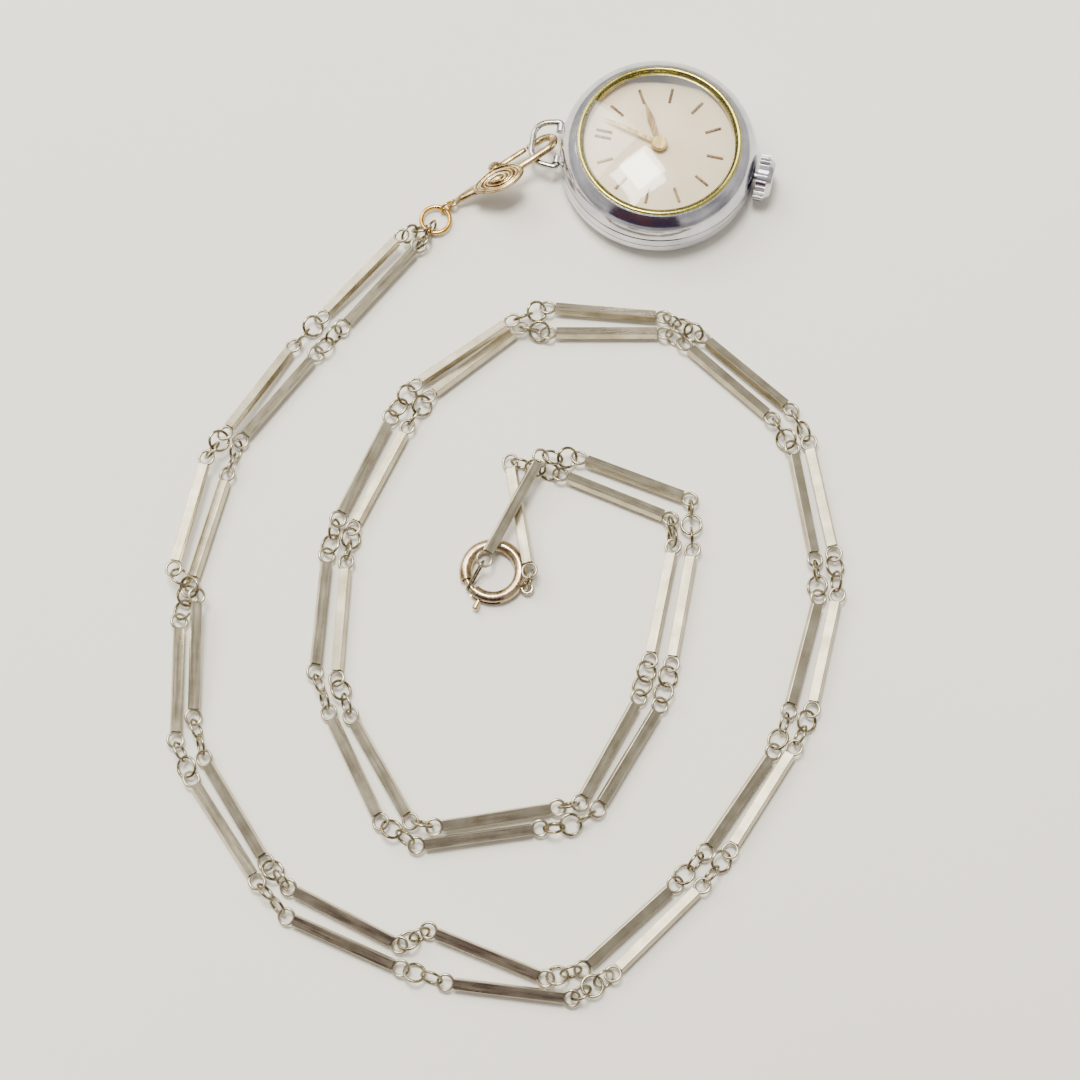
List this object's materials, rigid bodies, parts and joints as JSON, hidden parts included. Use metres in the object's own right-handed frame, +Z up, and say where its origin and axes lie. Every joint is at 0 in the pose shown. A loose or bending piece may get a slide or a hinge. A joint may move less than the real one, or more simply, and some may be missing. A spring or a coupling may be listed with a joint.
{
  "type": "fob watch",
  "caption": "Small hand-wound fob watch with a domed crystal, bow and crown, hung by a lobster clasp from a long doubled chain of bar links that ends in a spring-ring clasp.",
  "frame": {"origin": "middle of the flat case back, which lies on the table", "axes": "+Z up through the dial, +Y toward twelve o'clock and the bow, -Y toward the crown, +X toward three o'clock"},
  "size_m": [0.1157, 0.0774, 0.009],
  "materials": {
    "case_chrome": "polished chrome plate",
    "bow_chrome": "polished chrome plate",
    "gasket": "moulded",
    "crystal": "polished acrylic",
    "crystal_ring_gold": "gilt, satin",
    "dial_cream": "silvered cream, satin",
    "marker_gold": "gilt, faceted",
    "hand_gilt": "polished gilt",
    "ruby": "polished",
    "clasp_nickel": "worn nickel silver",
    "ring_gold": "worn gilt",
    "chain_nickel": "brushed lengthwise",
    "chain_ring_silver": "polished, tarnished",
    "spring_ring_gold": "worn gilt",
    "movement_brass": "gilt",
    "movement_steel": "polished"
  },
  "bodies": {
    "root": {"case_middle": "case_chrome", "case_back": "case_chrome", "back_gasket": "gasket", "crystal": "crystal", "crystal_ring": "crystal_ring_gold", "dial": "dial_cream", "hour_markers": "marker_gold", "movement_ring": "movement_brass", "main_plate": "movement_brass", "train_bridge": "movement_brass", "barrel_bridge": "movement_brass", "balance_cock": "movement_brass", "pallet_bridge": "movement_brass", "jewels": "ruby", "movement_screws": "movement_steel", "hairspring": "movement_steel", "crown_tube": "movement_steel", "clasp_body": "clasp_nickel", "clasp_rivet": "clasp_nickel", "clasp_spring": "movement_steel", "clasp_ring": "ring_gold", "jump_ring": "ring_gold", "chain_bars_a": "chain_nickel", "chain_bars_b": "chain_nickel", "chain_rings_a": "chain_ring_silver", "chain_rings_b": "chain_ring_silver", "spring_ring_body": "spring_ring_gold", "spring_ring_spring": "movement_steel", "oval_link": "chain_ring_silver", "tail_ring": "chain_ring_silver"},
    "winding_clutch": {"winding_pinion": "movement_steel"},
    "stem": {"winding_stem": "movement_steel", "crown": "case_chrome"},
    "sliding_clutch": {"sliding_pinion": "movement_steel"},
    "crown_wheel": {"crown_wheel": "movement_steel"},
    "ratchet": {"ratchet_wheel": "movement_steel", "barrel_arbor": "movement_steel"},
    "click": {"click": "movement_steel"},
    "minute_train": {"cannon_pinion": "movement_steel", "minute_hand": "hand_gilt"},
    "hour_train": {"hour_wheel": "movement_brass", "hour_hand": "hand_gilt"},
    "minute_wheel": {"minute_wheel": "movement_brass"},
    "setting_wheel": {"setting_wheel": "movement_steel"},
    "barrel": {"barrel": "movement_brass", "mainspring": "movement_steel"},
    "centre_wheel": {"centre_wheel": "movement_brass"},
    "third_wheel": {"third_wheel": "movement_brass"},
    "fourth_wheel": {"fourth_wheel": "movement_brass"},
    "escape_wheel": {"escape_wheel": "movement_steel"},
    "pallet_fork": {"pallet_fork": "movement_steel"},
    "balance": {"balance_wheel": "movement_brass"},
    "setting_lever": {"setting_lever": "movement_steel"},
    "yoke": {"yoke": "movement_steel"},
    "bow": {"bow": "bow_chrome"},
    "clasp_gate": {"clasp_gate": "clasp_nickel"},
    "spring_ring_bolt": {"spring_ring_bolt": "clasp_nickel"}
  },
  "joints": [
    {"name": "crown_turn", "type": "hinge", "parent": "root", "child": "winding_clutch", "pos_m": [0, -0.008, 0.003], "axis": [0, -1, 0], "continuous": true},
    {"name": "crown_pull", "type": "slide", "parent": "winding_clutch", "child": "stem", "axis": [0, -1, 0], "range_m": [0, 0.0006]},
    {"name": "sliding_pinion_slide", "type": "slide", "parent": "winding_clutch", "child": "sliding_clutch", "axis": [0, 1, 0], "range_m": [0, 0.0005]},
    {"name": "setting_lever_swing", "type": "hinge", "parent": "root", "child": "setting_lever", "pos_m": [0.0024, -0.0083, 0.003], "axis": [0, 0, 1], "range_deg": [0, 16.4]},
    {"name": "yoke_swing", "type": "hinge", "parent": "root", "child": "yoke", "pos_m": [0.0031, -0.0066, 0.003], "axis": [0, 0, 1], "range_deg": [-11.4, 0]},
    {"name": "crown_wheel_turn", "type": "hinge", "parent": "root", "child": "crown_wheel", "pos_m": [0, -0.0059, 0.0016], "axis": [0, 0, 1], "continuous": true},
    {"name": "ratchet_turn", "type": "hinge", "parent": "root", "child": "ratchet", "pos_m": [-0.00316, -0.00253, 0.0016], "axis": [0, 0, 1], "continuous": true},
    {"name": "click_swing", "type": "hinge", "parent": "root", "child": "click", "pos_m": [-0.00695, -0.0031, 0.0016], "axis": [0, 0, 1], "range_deg": [0, 12], "stiffness_Nm_per_rad": 0.0000005, "springref_deg": -5.73},
    {"name": "minute_hand_turn", "type": "hinge", "parent": "root", "child": "minute_train", "pos_m": [0, 0, 0.0065], "axis": [0, 0, -1], "continuous": true},
    {"name": "hour_hand_turn", "type": "hinge", "parent": "root", "child": "hour_train", "pos_m": [0, 0, 0.0061], "axis": [0, 0, -1], "continuous": true},
    {"name": "minute_wheel_turn", "type": "hinge", "parent": "root", "child": "minute_wheel", "pos_m": [0.00116, -0.0021, 0.0048], "axis": [0, 0, -1], "continuous": true},
    {"name": "setting_wheel_turn", "type": "hinge", "parent": "root", "child": "setting_wheel", "pos_m": [0, -0.00465, 0.0048], "axis": [0, 0, -1], "continuous": true},
    {"name": "fourth_wheel_turn", "type": "hinge", "parent": "root", "child": "fourth_wheel", "pos_m": [0.00037, 0.00398, 0.0032], "axis": [0, 0, -1], "continuous": true},
    {"name": "third_wheel_turn", "type": "hinge", "parent": "root", "child": "third_wheel", "pos_m": [0.00279, 0.00195, 0.0027], "axis": [0, 0, -1], "continuous": true},
    {"name": "centre_wheel_turn", "type": "hinge", "parent": "root", "child": "centre_wheel", "pos_m": [0, 0, 0.0021], "axis": [0, 0, -1], "continuous": true},
    {"name": "barrel_turn", "type": "hinge", "parent": "root", "child": "barrel", "pos_m": [-0.00316, -0.00253, 0.003], "axis": [0, 0, -1], "continuous": true},
    {"name": "escape_wheel_turn", "type": "hinge", "parent": "root", "child": "escape_wheel", "pos_m": [-0.00232, 0.003, 0.0025], "axis": [0, 0, -1], "continuous": true},
    {"name": "pallet_fork_swing", "type": "hinge", "parent": "root", "child": "pallet_fork", "pos_m": [-0.00325, 0.00459, 0.0025], "axis": [0, 0, 1], "range_deg": [-6, 6]},
    {"name": "balance_swing", "type": "hinge", "parent": "root", "child": "balance", "pos_m": [-0.0051, 0.0036, 0.0018], "axis": [0, 0, 1], "range_deg": [-270, 270], "stiffness_Nm_per_rad": 0.0000001},
    {"name": "bow_swing", "type": "hinge", "parent": "root", "child": "bow", "pos_m": [-0.0012, 0.01212, 0.003], "axis": [0.9951, 0.0985, 0], "range_deg": [-3, 3]},
    {"name": "clasp_gate_swing", "type": "hinge", "parent": "root", "child": "clasp_gate", "pos_m": [-0.00523, 0.01925, 0.00117], "axis": [0.3689, 0.5411, 0.7558], "range_deg": [-22, 0], "stiffness_Nm_per_rad": 0.00003, "springref_deg": 17.19},
    {"name": "spring_ring_bolt_slide", "type": "hinge", "parent": "root", "child": "spring_ring_bolt", "pos_m": [-0.0555, 0.0076, 0.0008], "axis": [0, 0, 1], "range_deg": [0, 36], "stiffness_Nm_per_rad": 0.00001, "springref_deg": -17.19}
  ],
  "couplings": [
    {"joint": "sliding_pinion_slide", "follows": "crown_pull", "ratio": 0.83333},
    {"joint": "setting_lever_swing", "follows": "crown_pull", "rad_per_m": 477.06},
    {"joint": "yoke_swing", "follows": "crown_pull", "rad_per_m": -331.61},
    {"joint": "crown_wheel_turn", "follows": "crown_turn", "ratio": 0.5},
    {"joint": "ratchet_turn", "follows": "crown_turn", "ratio": -0.325},
    {"joint": "hour_hand_turn", "follows": "minute_hand_turn", "ratio": 0.083333},
    {"joint": "minute_wheel_turn", "follows": "minute_hand_turn", "ratio": -0.33333},
    {"joint": "setting_wheel_turn", "follows": "minute_hand_turn", "ratio": 0.6},
    {"joint": "third_wheel_turn", "follows": "fourth_wheel_turn", "ratio": -0.125},
    {"joint": "centre_wheel_turn", "follows": "fourth_wheel_turn", "ratio": 0.016667},
    {"joint": "barrel_turn", "follows": "fourth_wheel_turn", "ratio": -0.0020833},
    {"joint": "escape_wheel_turn", "follows": "fourth_wheel_turn", "ratio": -10}
  ]
}
